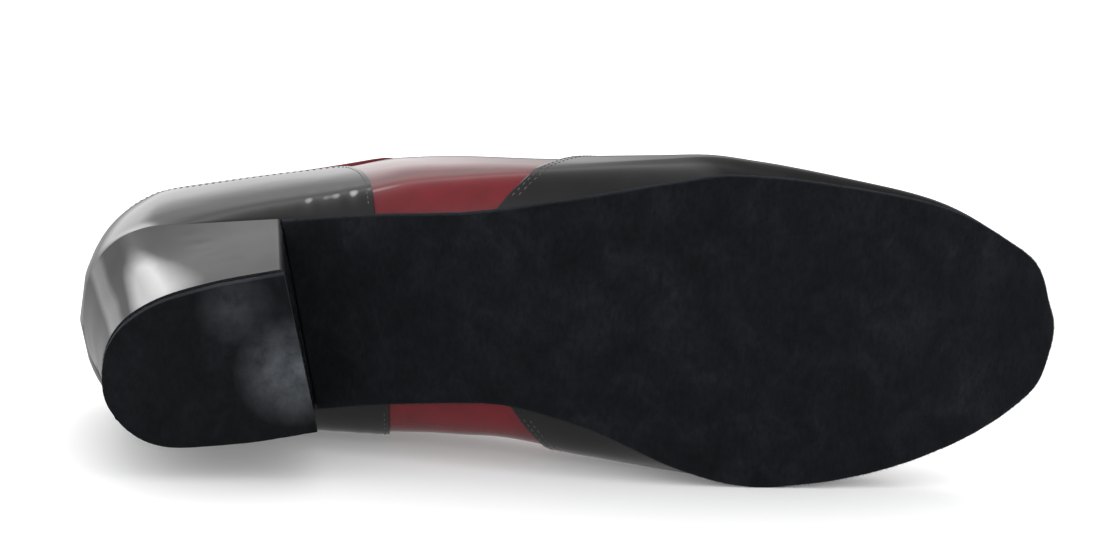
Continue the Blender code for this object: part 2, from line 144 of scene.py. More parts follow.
# Columns: along, ridge (share of the instep height), spine (share of the ball width),
# outer and inner bulge past the sole's edge (shares of the ball width), margin (share of the edge margin),
# tuck (share of the ball width), rise and shoulder (shares of the rib's height and half width)
SECTIONS = (
    (0.00, 1.36, -0.011, 0.018, 0.018, 0.25, 0.14, 0.60, 0.70),
    (0.05, 1.35, -0.011, -0.016, 0.074, 0.25, 0.11, 0.58, 0.68),
    (0.10, 1.33, -0.010, -0.004, 0.122, 0.25, 0.09, 0.62, 0.74),
    (0.20, 1.27, -0.005, 0.026, 0.120, 0.25, 0.12, 0.66, 0.80),
    (0.30, 1.15, 0.000, 0.050, 0.160, 0.25, 0.14, 0.68, 0.82),
    (0.35, 1.07, 0.002, 0.074, 0.172, 0.27, 0.15, 0.70, 0.84),
    (0.40, 0.99, 0.005, 0.080, 0.180, 0.30, 0.15, 0.72, 0.82),
    (0.50, 0.80, 0.015, 0.060, 0.156, 0.45, 0.15, 0.72, 0.72),
    (0.60, 0.635, 0.035, 0.032, 0.062, 0.50, 0.16, 0.74, 0.68),
    (0.70, 0.510, 0.055, 0.012, 0.014, 0.60, 0.17, 0.74, 0.64),
    (0.80, 0.430, 0.085, 0.004, 0.006, 0.75, 0.13, 0.66, 0.60),
    (0.90, 0.380, 0.115, 0.002, 0.002, 0.90, 0.11, 0.62, 0.58),
    (1.00, 0.345, 0.142, -0.006, -0.006, 1.00, 0.09, 0.62, 0.58),
)

# Columns: along, height over the seat (share of the collar height)
COLLAR = (
    (0.000, 1.00),
    (0.040, 0.97),
    (0.100, 0.87),
    (0.160, 0.80),
    (0.220, 0.78),
    (0.280, 0.83),
    (0.330, 0.97),
    (0.385, 1.30),
)

# The vamp's edge. Columns: up the rib, along
VAMP_SEAM = (
    (0.000, 0.4270),
    (0.014, 0.4375),
    (0.050, 0.4600),
    (0.100, 0.4760),
    (0.200, 0.5040),
    (0.350, 0.5360),
    (0.600, 0.5780),
    (0.850, 0.6000),
    (1.000, 0.6050),
)

# The counter's edge, from the feather edge up its front, round its corner and back to the heel.
# Columns: way (0 at the front's foot, 1 at the back), along, height over the seat (share of the
# collar height)
COUNTER_EDGE = (
    (0.00, 0.3070, 0.000),
    (0.12, 0.3070, 0.200),
    (0.24, 0.3040, 0.400),
    (0.34, 0.2980, 0.560),
    (0.40, 0.2880, 0.690),
    (0.46, 0.2700, 0.745),
    (0.60, 0.2100, 0.755),
    (0.75, 0.1300, 0.785),
    (0.90, 0.0450, 0.900),
    (1.00, 0.0000, 0.930),
)

# Thicknesses and lifts of the visual layers, from the upper's outside
QUARTER_DEPTH = 0.0006
QUARTER_WALL = 0.0009
LINING_DEPTH = 0.0016
LINING_WALL = 0.0008
PANEL_WALL = 0.0010
PANEL_DEPTH = 0.0003
VAMP_WALL = PANEL_WALL + 0.0004
BINDING_DEPTH = 0.0012
BINDING_RADIUS = 0.00135

# Places along the shoe that ways out are measured from: of the upper, and of the heel
UPPER_MIDDLE = 0.07
HEEL_MIDDLE = 0.030

# Rows of stitches: from stitch to stitch, the length of one, its thread, and the rows' ways in
STITCH_PITCH = 0.0021
STITCH_LONG = 0.0015
STITCH_THICK = 0.00034
FIRST_ROW = 0.0014
SECOND_ROW = 0.0032

OUTER, INNER = 0, 1
SIDES = (OUTER, INNER)
UP, DOWN = (0, 0, 1), (0, 0, -1)


def turn_of(along):
    """The turn, from 0 at the back to pi at the toe, that gives an outline round ends."""
    return np.arccos(np.clip(1 - 2 * np.asarray(along, float), -1, 1))


def plain(along):
    return np.asarray(along, float)


def read_curve(x, y, slope, at):
    """Where a smooth curve through y at x, with those slopes there, is at new places."""
    i = np.clip(np.searchsorted(x, at, side="right") - 1, 0, len(x) - 2)
    step = x[i + 1] - x[i]
    t = (at - x[i]) / step
    if y.ndim > 1:
        step, t = step[..., None], t[..., None]
    start = (1 + 2 * t) * (1 - t) ** 2 * y[i] + t * (1 - t) ** 2 * step * slope[i]
    end = t**2 * (3 - 2 * t) * y[i + 1] + t**2 * (t - 1) * step * slope[i + 1]
    return start + end


def curve_through(rows, column, key=plain, level_ends=False):
    """A smooth curve through one column of a table, with no overshoot between its rows."""
    x = np.array([float(key(row[0])) for row in rows])
    y = np.array([row[column] for row in rows])
    step = np.diff(x)
    secant = np.diff(y) / step
    slope = np.empty_like(y)
    slope[0] = 0 if level_ends else secant[0]
    slope[-1] = 0 if level_ends else secant[-1]
    for i in range(1, len(x) - 1):
        before, after = secant[i - 1], secant[i]
        if before * after <= 0:
            slope[i] = 0
        else:
            weight = (step[i - 1] * after + step[i] * before) / (step[i - 1] + step[i])
            slope[i] = math.copysign(min(abs(weight), 3 * min(abs(before), abs(after))), weight)
    return lambda along: read_curve(x, y, slope, np.clip(key(along), x[0], x[-1]))


OUTLINE = [curve_through(SOLE_OUTLINE, column, turn_of) for column in (1, 2)]
HEEL_LIFT, TOE_LIFT = (curve_through(TREAD, column) for column in (1, 2))
TIP = [curve_through(HEEL_TIP, column) for column in (1, 2)]
RIDGE, SPINE = (curve_through(SECTIONS, column) for column in (1, 2))
BULGE = [curve_through(SECTIONS, column, turn_of, level_ends=True) for column in (3, 4)]
MARGIN, TUCK, RISE, SHOULDER = (
    curve_through(SECTIONS, column, turn_of, level_ends=True) for column in (5, 6, 7, 8)
)
COLLAR_LINE = curve_through(COLLAR, 1, turn_of, level_ends=True)
VAMP_LINE = curve_through(VAMP_SEAM, 1)
COUNTER_ALONG, COUNTER_HEIGHT = (curve_through(COUNTER_EDGE, column) for column in (1, 2))


def edge(along, side):
    """Half of the sole's outline: how far its edge lies across, at a place along it."""
    return BALL_WIDTH * OUTLINE[side](along)


def edge_point(along, side):
    """A place on the sole's edge, seen from above."""
    return np.stack([along * SOLE_LENGTH, edge(along, side)], -1)


def tread(along):
    """Height of the sole's underside over the floor."""
    return HEEL_HEIGHT * HEEL_LIFT(along) + TOE_SPRING * TOE_LIFT(along)


def seat(along):
    """Height of the outsole's top, which the upper and the insole stand on."""
    step = 0.004
    low, high = np.maximum(plain(along) - step, 0.0), np.minimum(plain(along) + step, 1.0)
    slope = (tread(high) - tread(low)) / ((high - low) * SOLE_LENGTH)
    return tread(along) + OUTSOLE_THICKNESS * np.sqrt(1 + slope**2)


def spine_place(along):
    """Where the rib from a place on the edge meets the spine: the ribs fan out at both ends."""
    heel, heel_reach = HEEL_FAN
    toe, toe_reach = TOE_FAN
    back = heel - heel_reach * np.tanh((heel - along) / heel_reach)
    front = toe + toe_reach * np.tanh((along - toe) / toe_reach)
    return np.where(along < heel, back, np.where(along > toe, front, along))


def spine_point(along):
    """Where a place on the edge is joined to the spine by its rib, seen from above."""
    middle = spine_place(along)
    return np.stack([middle * SOLE_LENGTH, BALL_WIDTH * SPINE(middle)], -1)


def skin(along, side, v):
    """The upper's outside, from its feather edge at v = 0 to the ridge at v = 1, along its ribs."""
    along, v = np.broadcast_arrays(plain(along), plain(v))
    root, foot = spine_point(along), edge_point(along, side)
    reach = np.linalg.norm(foot - root, axis=-1)
    away = (foot - root) / reach[..., None]
    full = reach + BALL_WIDTH * BULGE[side](along)
    tuck = BALL_WIDTH * BULGE[side](along) + EDGE_MARGIN * MARGIN(along)
    w = 1 - v
    height = 3 * w * w * v * RISE(along) + 3 * w * v * v + v**3
    across = full * (w**3 + 3 * w * w * v + 3 * w * v * v * SHOULDER(along))
    floor = seat(along) + GAP
    top = INSTEP_HEIGHT * RIDGE((root[..., 0] + away[..., 0] * across) / SOLE_LENGTH)
    z = floor + (top - floor) * height
    over = np.minimum((z - floor) / (BALL_WIDTH * TUCK(along)), 1)
    across = across - tuck * (1 - over) ** 2
    place = root + away * across[..., None]
    return np.concatenate([place, z[..., None]], -1)


def skin_normal(along, side, v):
    """The way out of the upper's outside, from its slopes along and up a rib."""
    along, v = np.broadcast_arrays(plain(along), plain(v))
    d = 0.002
    a0, a1 = np.maximum(along - d, 0.001), np.minimum(along + d, 0.999)
    v0, v1 = np.maximum(v - d, 0.0), np.minimum(v + d, 1.0)
    run = skin(a1, side, v) - skin(a0, side, v)
    climb = skin(along, side, v1) - skin(along, side, v0)
    normal = np.cross(climb, run) if side == INNER else np.cross(run, climb)
    return normal / np.linalg.norm(normal, axis=-1, keepdims=True)


def lifted(along, side, v, lift):
    """A place a named way out from the upper's outside, or under it where the lift is below 0."""
    return skin(along, side, v) + np.asarray(lift)[..., None] * skin_normal(along, side, v)


def v_at(along, side, measure, wanted):
    """The place up each rib where a measure that falls as the rib climbs reaches a wanted value."""
    along = plain(along)
    low, high = np.zeros_like(along), np.ones_like(along)
    for _ in range(30):
        middle = (low + high) / 2
        more = measure(skin(along, side, middle)) > wanted
        low, high = np.where(more, middle, low), np.where(more, high, middle)
    return (low + high) / 2


def half_gap(along):
    """Half of the gap between the facings, which narrows towards the vamp."""
    share = (THROAT_END - along) / (THROAT_END - COLLAR_FRONT)
    return (THROAT_END_GAP + (THROAT_TOP_GAP - THROAT_END_GAP) * share) / 2


def from_spine(along):
    """A measure: how far a place is from where its rib meets the spine, seen from above."""
    axis = spine_point(plain(along))
    return lambda point: np.linalg.norm(point[..., :2] - axis, axis=-1)


def v_at_height(along, side, height):
    """The place up each rib at a height over the seat."""
    wanted = seat(along) + height
    return v_at(along, side, lambda point: -point[..., 2], -wanted)


def v_at_gap(along, side, way):
    """The place up each rib at a distance from the spine, seen from above."""
    return v_at(along, side, from_spine(along), way)


def top_edge(along, side):
    """How far up its rib the upper reaches: to the collar, the facing's edge or the ridge."""
    along = plain(along)
    facing = v_at_gap(along, side, half_gap(along))
    collar = np.minimum(v_at_height(along, side, COLLAR_HEIGHT * COLLAR_LINE(along)), facing)
    low = np.where(along <= COLLAR_FRONT, collar, facing)
    return np.where(along > THROAT_END + 1e-9, 1.0, low)


def shoe_frame(record):
    """The matrix from the shoe's own frame to the row, from the two places that the shoe stands on."""
    mounts = {mount["name"]: mount for mount in record["mounts"]}
    heel = Vector(mounts["heel_rest"]["pos_m"])
    ball = Vector(mounts["tread_rest"]["pos_m"])
    z = -Vector(mounts["heel_rest"]["axis"]).normalized()
    x = (ball - heel).normalized()
    y = z.cross(x)
    turn = Matrix((x, y, z)).transposed().to_4x4()
    return Matrix.Translation(heel - HEEL_REST_X * x) @ turn


def filled(tree, node, inputs):
    """Fills a node's inputs, each from another node or with a fixed value."""
    for name, value in inputs.items():
        if isinstance(value, bpy.types.NodeSocket):
            tree.links.new(value, node.inputs[name])
        else:
            node.inputs[name].default_value = value
    return node


def node_of(tree, kind, inputs, **settings):
    """A new node, with its settings and its inputs."""
    made = tree.nodes.new("ShaderNode" + kind)
    for name, value in settings.items():
        setattr(made, name, value)
    return filled(tree, made, inputs)


def shader_of(name, colour, roughness):
    """A new material, its nodes and its shader."""
    made = bpy.data.materials.new(name)
    made.use_nodes = True
    tree = made.node_tree
    inputs = {"Base Color": (*colour, 1.0), "Roughness": roughness}
    return made, tree, filled(tree, tree.nodes["Principled BSDF"], inputs)


def place_of(tree):
    """The place in the piece's own coordinates, which are the row's for every piece of the shoe."""
    return node_of(tree, "TexCoord", {}).outputs["Object"]


def noise_of(tree, across_m, detail=2.0, rough=0.5, stretch=(1, 1, 1), distortion=0.0):
    """A noise whose patches are about as wide as a named size in metres."""
    mapping = node_of(tree, "Mapping", {"Vector": place_of(tree), "Scale": stretch})
    inputs = {"Vector": mapping.outputs["Vector"], "Scale": 0.5 / across_m, "Detail": detail}
    inputs.update({"Roughness": rough, "Distortion": distortion})
    return node_of(tree, "TexNoise", inputs).outputs["Fac"]


def distance_of(tree, spot):
    """How far the place is from a spot."""
    inputs = {0: place_of(tree), 1: spot}
    return node_of(tree, "VectorMath", inputs, operation="DISTANCE").outputs["Value"]


def ramp_of(tree, value, stops):
    """A colour ramp through stops of (place, colour)."""
    made = node_of(tree, "ValToRGB", {"Fac": value})
    ramp = made.color_ramp
    while len(ramp.elements) < len(stops):
        ramp.elements.new(0.5)
    for element, (place, colour) in zip(ramp.elements, stops):
        element.position = place
        element.color = (*colour, 1.0)
    return made.outputs["Color"]


def range_of(tree, value, low, high, from_low=0.0, from_high=1.0):
    """A value moved from one range into another."""
    inputs = {"Value": value, "From Min": from_low, "From Max": from_high, "To Min": low, "To Max": high}
    return node_of(tree, "MapRange", inputs).outputs["Result"]


# Where a mix node keeps its two colours and its mixed one, which share their names with other sockets
MIX_FIRST, MIX_SECOND, MIX_RESULT = 6, 7, 2


def mixed(tree, share, first, second, mode="MIX"):
    """Two colours mixed by a share."""
    inputs = {"Factor": share, MIX_FIRST: first, MIX_SECOND: second}
    return node_of(tree, "Mix", inputs, data_type="RGBA", blend_type=mode).outputs[MIX_RESULT]


def bumped(tree, shader, heights):
    """Bumps one after another. Each is (value, how high in metres)."""
    inputs = {"Strength": 1.0}
    for value, high in heights:
        inputs.update({"Distance": high, "Height": value})
        inputs["Normal"] = node_of(tree, "Bump", inputs).outputs["Normal"]
    filled(tree, shader, {"Normal": inputs["Normal"]})
    return inputs["Normal"]


def patent(name, deep, light, wave=0.00010, gloss=1.5):
    """Glossy patent leather: a clear coat over a faintly uneven, very smooth leather."""
    made, tree, shader = shader_of(name, deep, 0.08)
    heights = [(noise_of(tree, 0.014, 1.0), wave), (noise_of(tree, 0.0030, 1.0), wave * 0.10)]
    inputs = {
        "Base Color": ramp_of(tree, noise_of(tree, 0.004, 3.0), ((0.30, deep), (0.75, light))),
        "Roughness": range_of(tree, noise_of(tree, 0.010, 4.0, 0.6), 0.05, 0.11, 0.35, 0.70),
        "Specular IOR Level": 0.12,
        "Coat Weight": 1.0,
        "Coat Roughness": 0.04,
        "Coat IOR": gloss,
        "Coat Normal": bumped(tree, shader, heights),
    }
    filled(tree, shader, inputs)
    return made


WORN_SUEDE = (0.110, 0.118, 0.130, 1.0)


def suede(name, dark, middle, pale, scuffs=()):
    """Brushed suede: a matt nap in soft patches, with fine streaks. Scuffs are (spot, radius, strength)."""
    made, tree, shader = shader_of(name, middle, 0.95)
    patches = noise_of(tree, 0.0060, 5.0, 0.62, (1, 1, 0.8), 0.6)
    colour = ramp_of(tree, patches, ((0.30, dark), (0.52, middle), (0.78, pale)))
    streaks = range_of(tree, noise_of(tree, 0.0006, 3.0, 0.7, (1, 1, 0.45)), 0.45, 1.75, 0.25, 0.75)
    colour = node_of(tree, "VectorMath", {0: colour, "Scale": streaks}, operation="SCALE").outputs["Vector"]
    for spot, radius, strength in scuffs:
        share = range_of(tree, distance_of(tree, spot), strength, 0.0, 0.0, radius)
        blotches = range_of(tree, noise_of(tree, 0.0035, 5.0, 0.7), 0.25, 1.0, 0.3, 0.7)
        worn = node_of(tree, "Math", {0: share, 1: blotches}, operation="MULTIPLY").outputs["Value"]
        colour = mixed(tree, worn, colour, WORN_SUEDE)
    heights = [
        (noise_of(tree, 0.0050, 4.0, 0.6), 0.00035),
        (noise_of(tree, 0.0009, 4.0, 0.75, (1, 1, 0.5)), 0.00030),
        (noise_of(tree, 0.00025, 2.0, 0.7), 0.00012),
    ]
    bumped(tree, shader, heights)
    inputs = {
        "Base Color": colour,
        "Specular IOR Level": 0.15,
        "Sheen Weight": 0.06,
        "Sheen Roughness": 0.6,
        "Sheen Tint": (0.55, 0.65, 0.80, 1.0),
    }
    filled(tree, shader, inputs)
    return made


def leather(name, dark, light, roughness):
    """Plain leather with fine pores and soft changes of tone."""
    made, tree, shader = shader_of(name, dark, roughness)
    colour = ramp_of(tree, noise_of(tree, 0.006, 5.0, 0.6), ((0.30, dark), (0.72, light)))
    rough = range_of(tree, noise_of(tree, 0.004, 3.0), roughness * 0.85, roughness * 1.12, 0.3, 0.7)
    filled(tree, shader, {"Base Color": colour, "Roughness": rough})
    inputs = {"Vector": place_of(tree), "Scale": 1.0 / 0.0009}
    pores = node_of(tree, "TexVoronoi", inputs, feature="SMOOTH_F1").outputs["Distance"]
    bumped(tree, shader, [(pores, 0.00008), (noise_of(tree, 0.003, 3.0), 0.00016)])
    return made


def thread(name, colour):
    """Waxed sewing thread."""
    made, tree, shader = shader_of(name, colour, 0.45)
    stops = ((0.3, tuple(c * 0.7 for c in colour)), (0.7, colour))
    filled(tree, shader, {"Base Color": ramp_of(tree, noise_of(tree, 0.0008, 2.0), stops)})
    bumped(tree, shader, [(noise_of(tree, 0.0002, 2.0), 0.00003)])
    return made


def woven(name, colour):
    """Cotton lace: a tight braid along the cord."""
    made, tree, shader = shader_of(name, colour, 0.85)
    inputs = {"Vector": place_of(tree), "Scale": 320.0, "Distortion": 1.5, "Detail": 1.0}
    weave = node_of(tree, "TexWave", inputs, wave_type="BANDS", bands_direction="DIAGONAL").outputs["Fac"]
    tint = ramp_of(tree, weave, ((0.1, tuple(c * 0.5 for c in colour)), (0.9, colour)))
    filled(tree, shader, {"Base Color": tint, "Sheen Weight": 0.2})
    bumped(tree, shader, [(weave, 0.00018), (noise_of(tree, 0.0003, 2.0), 0.00005)])
    return made


def metal(name, colour, roughness):
    """Painted metal, a little worn."""
    made, tree, shader = shader_of(name, colour, roughness)
    rough = range_of(tree, noise_of(tree, 0.0012, 3.0), roughness * 0.7, roughness * 1.4, 0.3, 0.7)
    filled(tree, shader, {"Metallic": 1.0, "Roughness": rough})
    bumped(tree, shader, [(noise_of(tree, 0.0008, 2.0), 0.00001)])
    return made


def raw_mesh(name, points, faces):
    """A mesh from points and faces."""
    mesh = bpy.data.meshes.new(name)
    mesh.from_pydata([tuple(map(float, point)) for point in points], [], faces)
    return mesh


def mesh_of(name, points, faces, sharp=50.0):
    """A mesh with equal points joined and its faces turned the same way."""
    mesh = raw_mesh(name, points, faces)
    shape = bmesh.new()
    shape.from_mesh(mesh)
    bmesh.ops.remove_doubles(shape, verts=shape.verts, dist=2e-6)
    bmesh.ops.recalc_face_normals(shape, faces=shape.faces)
    shape.to_mesh(mesh)
    shape.free()
    mesh.shade_smooth()
    mesh.set_sharp_from_angle(angle=math.radians(sharp))
    return mesh


def grid_faces(rows, columns, start=0, flip=False):
    """Faces of a sheet whose points run row by row."""
    faces = []
    for i in range(rows - 1):
        for j in range(columns - 1):
            a = start + i * columns + j
            face = (a, a + 1, a + columns + 1, a + columns)
            faces.append(face[::-1] if flip else face)
    return faces


def sheet_through(name, grids):
    """One sheet through grids of points, each rows by columns by 3, joined where they meet."""
    points, faces = [], []
    for index, grid in enumerate(grids):
        rows, columns = grid.shape[:2]
        faces += grid_faces(rows, columns, len(points), flip=index % 2 == 1)
        points += list(grid.reshape(-1, 3))
    return mesh_of(name, points, faces)


def ring_faces(rings, size, start=0):
    """Faces of a tube whose points run ring by ring."""
    faces = []
    for k in range(rings - 1):
        for i in range(size):
            a, b = start + k * size + i, start + k * size + (i + 1) % size
            faces.append((a, b, b + size, a + size))
    return faces


def placed(name, data):
    """A new object in the scene."""
    made = bpy.data.objects.new(name, data)
    bpy.context.scene.collection.objects.link(made)
    return made


class Maker:
    """Places pieces in the row, on the one body that the shoe has."""

    def __init__(self, matrix):
        self.matrix = matrix

    def add(self, name, data, material, slot=None, stands_for=()):
        """A piece from its shape in the shoe's own frame."""
        data.transform(self.matrix)
        data.materials.append(material)
        piece = placed(name, data)
        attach(piece, "root")
        if stands_for:
            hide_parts(*stands_for)
        return piece

    def sheet(self, name, grids, finish, wall, rim, way=None, slot=None, stands_for=()):
        """A sheet through grids that look out of the shoe or a named way, with a wall under it."""
        mesh = sheet_through(name, grids)
        face = mesh.polygons[0]
        if face.normal.dot(Vector(way or (face.center[0] - UPPER_MIDDLE, 3 * face.center[1], 0.0))) < 0:
            mesh.flip_normals()
        piece = self.add(name, mesh, finish, slot, stands_for)
        solid = piece.modifiers.new("Wall", "SOLIDIFY")
        solid.thickness = wall
        solid.offset = -1.0
        bevel = piece.modifiers.new("Rounded edge", "BEVEL")
        bevel.width = rim
        bevel.segments = 2
        bevel.limit_method = "ANGLE"
        bevel.angle_limit = math.radians(60)
        return piece


def places_between(first, last, count):
    """Places along the sole, closer together towards its round ends."""
    turns = np.linspace(float(turn_of(first)), float(turn_of(last)), count)
    return (1 - np.cos(turns)) / 2


def crowded(count, power=1.5):
    """Shares from 0 to 1, closer together near 0."""
    return (np.arange(count) / (count - 1)) ** power


def feather_ripples(along, side, v):
    """Soft gathers where the upper is pulled under at the waist, on the outer side most of all."""
    low = np.exp(-((v - 0.045) / 0.030) ** 2)
    depth = 0.00008 * np.exp(-((along - 0.27) / 0.06) ** 2)
    depth = depth + 0.00007 * np.exp(-((along - 0.45) / 0.03) ** 2)
    if side == INNER:
        depth = depth * 0.5
    wave = np.sin(along * 260) + 0.6 * np.sin(along * 410 + 1.3)
    return depth * low * wave


def flex_creases(along, side, v):
    """Two faint creases across the vamp, where the foot bends."""
    total = np.zeros(np.broadcast(along, v).shape)
    for middle, lean, depth in ((0.690, 0.020, 0.00018), (0.655, 0.012, 0.00012)):
        line = middle + lean * (1 - v)
        high = np.clip((v - 0.25) / 0.45, 0, 1)
        total = total - depth * high * np.exp(-((along - line) / 0.006) ** 2)
        total = total + 0.6 * depth * high * np.exp(-((along - line - 0.013) / 0.008) ** 2)
    return total


def dressed(along, side, v, lift):
    """The upper's outside with its ripples and creases, a named way out."""
    along, v = np.broadcast_arrays(plain(along), plain(v))
    return lifted(along, side, v, lift + feather_ripples(along, side, v) + flex_creases(along, side, v))


def crown(along, side, lift):
    """Places on the ridge, where both sides meet, a named way over or under it."""
    return skin(along, side, 1.0) + np.array([0.0, 0.0, lift])


def quarter_grid(side):
    """One side's quarter, up to the collar and facing, and a little past the throat's end."""
    round_part = places_between(0.0, COLLAR_FRONT, 90)
    places = np.concatenate([round_part, np.linspace(COLLAR_FRONT, THROAT_END + 0.03, 45)[1:]])
    top = np.where(places > THROAT_END, top_edge(THROAT_END, side), top_edge(places, side))
    return np.stack([lifted(places, side, top * share, -QUARTER_DEPTH) for share in crowded(44)])


def make_quarters(maker, finish):
    """The burgundy quarters, from the back of the heel to under the vamp."""
    grids = [quarter_grid(side) for side in SIDES]
    maker.sheet("quarters", grids, finish, QUARTER_WALL, 0.0003, None, "upper_patent", ["upper"])


def make_lining(maker, finish):
    """The lining inside the upper, from heel to toe."""
    heel = places_between(0.0, COLLAR_FRONT, 50)
    throat = np.linspace(COLLAR_FRONT, THROAT_END, 24)[1:]
    places = np.concatenate([heel, throat, places_between(THROAT_END + 0.002, 1.0, 44)])
    grids = []
    for side in SIDES:
        top = top_edge(places, side)
        grid = np.stack([lifted(places, side, top * share, -LINING_DEPTH) for share in crowded(30)])
        grid[-1, top >= 1.0] = crown(places, side, -LINING_DEPTH)[top >= 1.0]
        grids.append(grid)
    maker.sheet("upper_lining", grids, finish, LINING_WALL, 0.0002, None, "lining")


def vamp_grid(side):
    """One side of the vamp, from its edge to the toe."""
    rows, columns = 60, 100
    share = crowded(columns, 1.25)
    grid = []
    for v in crowded(rows):
        first = float(turn_of(float(VAMP_LINE(v))))
        places = (1 - np.cos(first + (math.pi - first) * share)) / 2
        grid.append(dressed(places, side, np.full(columns, v), PANEL_DEPTH))
    grid[-1] = crown(places, side, PANEL_DEPTH)
    return np.stack(grid)


def make_vamp(maker, finish):
    """The black vamp and toe, laid over the quarters' front edge."""
    maker.sheet("vamp", [vamp_grid(side) for side in SIDES], finish, VAMP_WALL, 0.0003)


def counter_grid(side):
    """One side of the counter: rows from its foot to its edge, all round that edge."""
    rows, columns = 110, 40
    way = np.linspace(0, 1, rows)
    along = np.clip(COUNTER_ALONG(way), 0.0, 1.0)
    v = v_at_height(along, side, COLLAR_HEIGHT * COUNTER_HEIGHT(way))
    v[0] = 0.0
    foot = float(along[0]) * (1 - way) ** 0.8
    share = 1 - crowded(columns, 1.3)[::-1]
    places = foot[:, None] + (along - foot)[:, None] * share[None, :]
    return dressed(places, side, v[:, None] * share[None, :], PANEL_DEPTH)


def make_counter(maker, finish):
    """The black counter round the heel, with its front corners rounded."""
    maker.sheet("counter", [counter_grid(side) for side in SIDES], finish, PANEL_WALL, 0.0003)


def tube_curve(name, points, radius):
    """A round cord through points."""
    curve = bpy.data.curves.new(name, "CURVE")
    curve.dimensions = "3D"
    spline = curve.splines.new("POLY")
    spline.points.add(len(points) - 1)
    for point, place in zip(spline.points, points):
        point.co = (*map(float, place), 1.0)
    spline.use_smooth = True
    curve.bevel_depth = radius
    curve.bevel_resolution = 4
    curve.use_fill_caps = True
    return curve


def topline(side):
    """The upper's top edge on one side, from the throat's end back to the heel."""
    facing = np.linspace(THROAT_END, COLLAR_FRONT, 30)
    places = np.concatenate([facing, places_between(COLLAR_FRONT, 0.0, 90)[1:]])
    return lifted(places, side, top_edge(places, side), -BINDING_DEPTH)


def make_binding(maker, finish):
    """A rolled edge round the collar and down the facings."""
    route = np.concatenate([topline(OUTER), topline(INNER)[::-1][1:]])
    maker.add("topline_binding", tube_curve("topline_binding", route, BINDING_RADIUS), finish)


def lengths_along(points):
    """How far along a route each of its points is."""
    return np.concatenate([[0], np.cumsum(np.linalg.norm(np.diff(points, axis=0), axis=1))])


def stitch_places(route, outs):
    """For each stitch of a route: its place, its way along and the way out of the leather."""
    run = lengths_along(route)
    count = max(2, int((run[-1] - 2 * STITCH_PITCH) / STITCH_PITCH))
    at = np.linspace(STITCH_PITCH, run[-1] - STITCH_PITCH, count)

    def read(rows, where):
        return np.stack([np.interp(where, run, rows[:, k]) for k in range(3)], -1)

    way = read(route, at + STITCH_PITCH * 0.3) - read(route, at - STITCH_PITCH * 0.3)
    return read(route, at), way / np.linalg.norm(way, axis=1, keepdims=True), read(outs, at)


# One stitch. Columns: along it (share of its length), thickness and sink (shares of the thread's)
STITCH_RINGS = ((-0.5, 0.45, 0.75), (-0.3, 0.9, 0.15), (0.0, 1.0, 0.0), (0.3, 0.9, 0.15), (0.5, 0.45, 0.75))
STITCH_SIDES = 6


def stitch_points(place, way, up):
    """Rings of one stitch: a short thread that dips into the leather at both ends."""
    side = np.cross(up, way)
    side /= np.linalg.norm(side)
    up = np.cross(way, side)
    points = []
    for share, size, sink in STITCH_RINGS:
        middle = place + way * (STITCH_LONG * share) - up * (STITCH_THICK * sink)
        for k in range(STITCH_SIDES):
            angle = math.tau * k / STITCH_SIDES
            ring = side * math.cos(angle) + up * math.sin(angle) * 0.8
            points.append(middle + ring * (STITCH_THICK * size / 2))
    return points


def make_stitching(maker, name, routes, finish):
    """Rows of stitches. A route is points and the ways out of the leather there."""
    points, faces = [], []
    for route, outs in routes:
        for place, way, up in zip(*stitch_places(route, outs)):
            start = len(points)
            points += stitch_points(place + up * STITCH_THICK * 0.1, way, up)
            faces += ring_faces(len(STITCH_RINGS), STITCH_SIDES, start)
            faces.append(tuple(start + k for k in reversed(range(STITCH_SIDES))))
            faces.append(tuple(len(points) - STITCH_SIDES + k for k in range(STITCH_SIDES)))
    mesh = raw_mesh(name, points, faces)
    mesh.shade_smooth()
    maker.add(name, mesh, finish)


def vamp_rows(side, inset):
    """A row of stitches along the vamp's edge, a named way in from it."""
    v = np.linspace(0.012, 0.985, 160)
    along = VAMP_LINE(v) + inset / SOLE_LENGTH
    return dressed(along, side, v, PANEL_DEPTH), skin_normal(along, side, v)


def counter_rows(side, inset):
    """A row of stitches inside the counter's edge."""
    way = np.linspace(0.02, 1.0, 160)
    x, h = COUNTER_ALONG(way) * SOLE_LENGTH, COUNTER_HEIGHT(way) * COLLAR_HEIGHT
    dx, dh = np.gradient(x), np.gradient(h)
    size = np.hypot(dx, dh)
    along = np.clip((x - inset * dh / size) / SOLE_LENGTH, 0.0, 1.0)
    v = v_at_height(along, side, np.maximum(h + inset * dx / size, 0.0005))
    return dressed(along, side, v, PANEL_DEPTH), skin_normal(along, side, v)


def topline_rows(side, inset):
    """A row of stitches under the collar and beside the facing's edge."""
    facing = np.linspace(THROAT_END - 0.012, COLLAR_FRONT, 50)
    collar = places_between(COLLAR_FRONT, 0.0, 110)[1:]
    along = np.concatenate([facing, collar])
    beside = v_at_gap(along, side, half_gap(along) + inset)
    under = v_at_height(along, side, COLLAR_HEIGHT * COLLAR_LINE(along) - inset)
    v = np.where(along <= COLLAR_FRONT, np.minimum(under, beside), beside)
    return dressed(along, side, v, -QUARTER_DEPTH), skin_normal(along, side, v)


